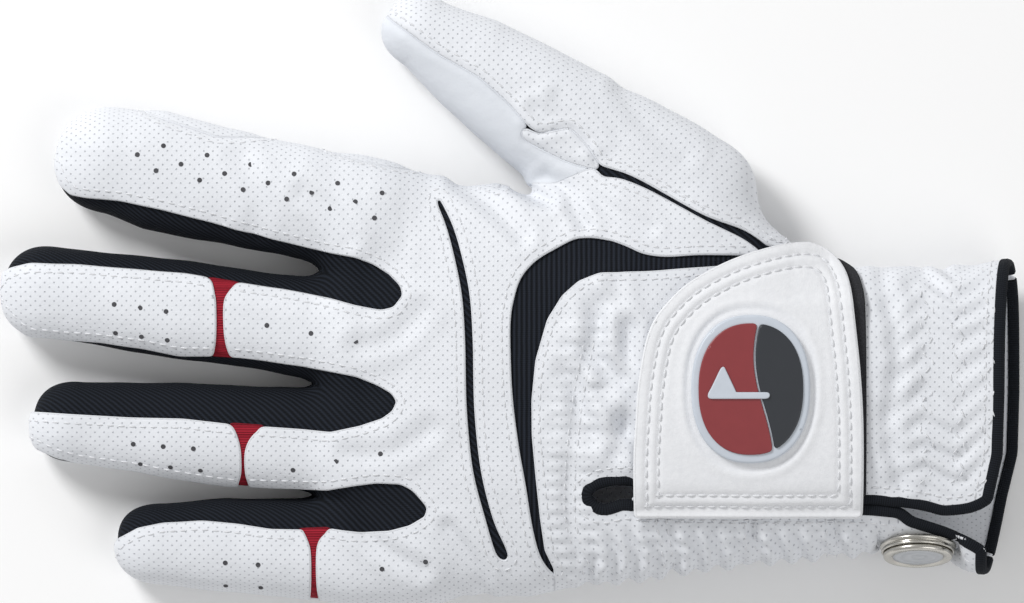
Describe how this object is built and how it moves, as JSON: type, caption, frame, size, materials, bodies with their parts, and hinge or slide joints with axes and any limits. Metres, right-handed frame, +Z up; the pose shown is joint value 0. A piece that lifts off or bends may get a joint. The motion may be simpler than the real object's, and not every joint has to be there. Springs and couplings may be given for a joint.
{
  "type": "golf glove",
  "caption": "Left-hand golf glove, leather back and palm with knit side walls, elastic knuckle inserts, a wrist closure tab with a rubber badge and a magnetic ball marker",
  "frame": {"origin": "on the palm's flat resting face, at mid-palm", "axes": "+X from the fingertips to the wrist opening, +Y towards the thumb, +Z up out of the back of the hand"},
  "size_m": [0.2264, 0.1336, 0.0317],
  "materials": {
    "white_leather": "satin",
    "tab_suede": "matte",
    "black_knit": "matte",
    "loop_fabric": "matte",
    "hook_plastic": "matte",
    "red_elastic": "satin",
    "badge_rim": "satin",
    "badge_red": "satin",
    "badge_charcoal": "satin",
    "nickel": "brushed",
    "magnet_metal": "polished",
    "inlay_enamel": "gloss"
  },
  "bodies": {
    "hand": {"palm_leather": "white_leather", "back_panel": "white_leather", "wrist_back_panel": "white_leather", "back_stretch_panel": "black_knit", "knuckle_flex_gusset": "black_knit", "thumb_base_back": "white_leather", "thumb_base_front": "white_leather", "thumb_gusset": "black_knit", "web_patch": "white_leather", "fourchette_index_middle": "black_knit", "fourchette_middle_ring": "black_knit", "fourchette_ring_little": "black_knit", "cuff_binding": "black_knit", "slit_binding": "black_knit", "loop_pad": "loop_fabric", "cuff_elastic": "black_knit", "side_elastic": "black_knit", "tab_root_welt": "white_leather", "tab_fold": "white_leather", "marker_seat": "nickel", "marker_magnet": "magnet_metal", "seat_washer": "nickel", "index_knuckle_skin": "white_leather", "middle_knuckle_skin": "white_leather", "ring_knuckle_skin": "white_leather", "little_knuckle_skin": "white_leather", "thumb_knuckle_skin": "white_leather", "middle_knuckle_insert": "red_elastic", "ring_knuckle_insert": "red_elastic", "little_knuckle_insert": "red_elastic"},
    "tab": {"hook_pad": "hook_plastic", "tab_lining": "white_leather", "tab_outer": "tab_suede", "badge_base": "badge_rim", "badge_upper_field": "badge_red", "badge_lower_field": "badge_charcoal", "badge_emblem": "badge_rim"},
    "marker": {"marker_disc": "nickel", "marker_inlay": "inlay_enamel"},
    "index_finger": {"index_tip_front": "white_leather", "index_tip_back": "white_leather", "index_side_littleward": "black_knit"},
    "middle_finger": {"middle_tip_front": "white_leather", "middle_tip_back": "white_leather", "middle_side_thumbward": "black_knit", "middle_side_littleward": "black_knit"},
    "ring_finger": {"ring_tip_front": "white_leather", "ring_tip_back": "white_leather", "ring_side_thumbward": "black_knit", "ring_side_littleward": "black_knit"},
    "little_finger": {"little_tip_front": "white_leather", "little_tip_back": "white_leather", "little_side_thumbward": "black_knit"},
    "thumb": {"thumb_tip_front": "white_leather", "thumb_tip_back": "white_leather"}
  },
  "joints": [
    {"name": "index_flex", "type": "hinge", "parent": "hand", "child": "index_finger", "pos_m": [-0.062, 0.0248, 0.0085], "axis": [-0.213, -0.977, 0], "range_deg": [0, 75], "deforming": ["index_knuckle_skin"]},
    {"name": "middle_flex", "type": "hinge", "parent": "hand", "child": "middle_finger", "pos_m": [-0.0643, -0.0032, 0.0085], "axis": [-0.1357, -0.9907, 0], "range_deg": [0, 75], "deforming": ["middle_knuckle_skin", "middle_knuckle_insert"]},
    {"name": "ring_flex", "type": "hinge", "parent": "hand", "child": "ring_finger", "pos_m": [-0.0593, -0.0298, 0.0085], "axis": [-0.0767, -0.9971, 0], "range_deg": [0, 75], "deforming": ["ring_knuckle_skin", "ring_knuckle_insert"]},
    {"name": "little_flex", "type": "hinge", "parent": "hand", "child": "little_finger", "pos_m": [-0.0438, -0.0546, 0.0085], "axis": [-0.0332, -0.9995, 0], "range_deg": [0, 75], "deforming": ["little_knuckle_skin", "little_knuckle_insert"]},
    {"name": "thumb_flex", "type": "hinge", "parent": "hand", "child": "thumb", "pos_m": [0.0052, 0.0432, 0.0085], "axis": [-0.5534, -0.8329, 0], "range_deg": [0, 60], "deforming": ["thumb_knuckle_skin"]},
    {"name": "tab_peel", "type": "hinge", "parent": "hand", "child": "tab", "pos_m": [0.0521, -0.0473, 0.0267], "axis": [1, 0, 0], "range_deg": [0, 130], "deforming": ["tab_fold"]},
    {"name": "marker_pull", "type": "slide", "parent": "hand", "child": "marker", "axis": [0, -0.9511, 0.309], "range_m": [0, 0.012]}
  ]
}
